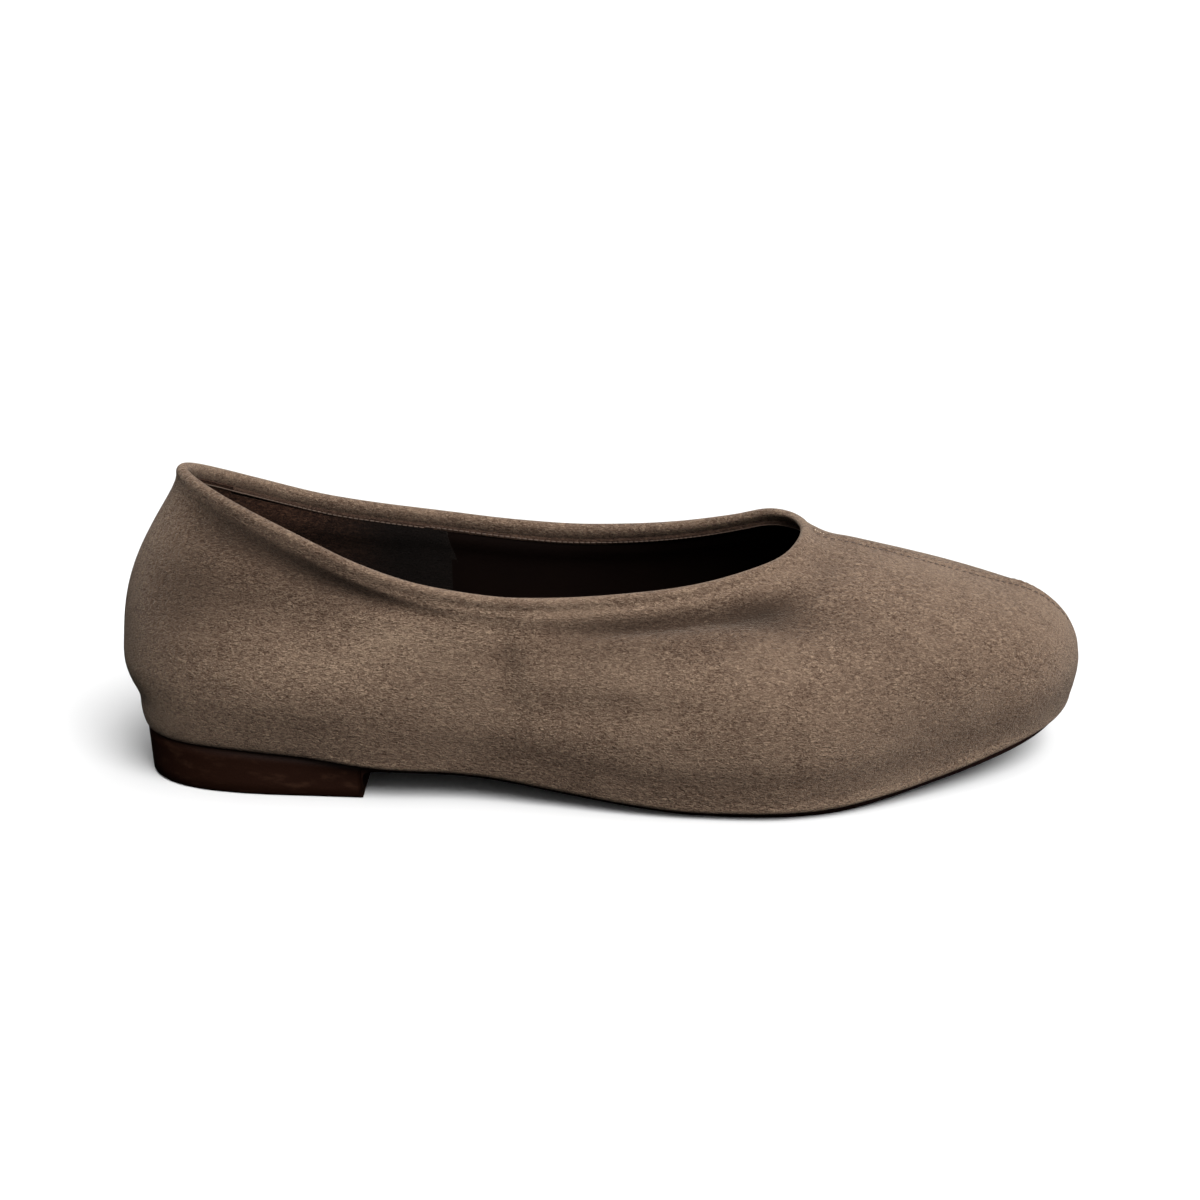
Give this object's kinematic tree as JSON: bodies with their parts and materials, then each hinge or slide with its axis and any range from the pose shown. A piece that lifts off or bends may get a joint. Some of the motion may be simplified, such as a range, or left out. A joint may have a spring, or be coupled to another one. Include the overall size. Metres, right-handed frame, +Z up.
{
  "type": "ballet flat",
  "caption": "Low slip-on flat shoe with a soft suede upper, padded collar roll, seamed vamp, round toe and thin dark sole with a low block heel.",
  "frame": {"origin": "middle of the shoe's box in plan, on the floor that it stands on", "axes": "+X from heel to toe, +Y to the inner side of the foot, +Z up"},
  "size_m": [0.2504, 0.0938, 0.08],
  "materials": {
    "suede": "matte napped taupe suede",
    "sole": "very dark brown moulded rubber, semi-matte",
    "lining": "dark brown lining, matte"
  },
  "bodies": {
    "root": {"upper": "suede", "outsole": "sole", "insole": "lining"}
  },
  "joints": []
}
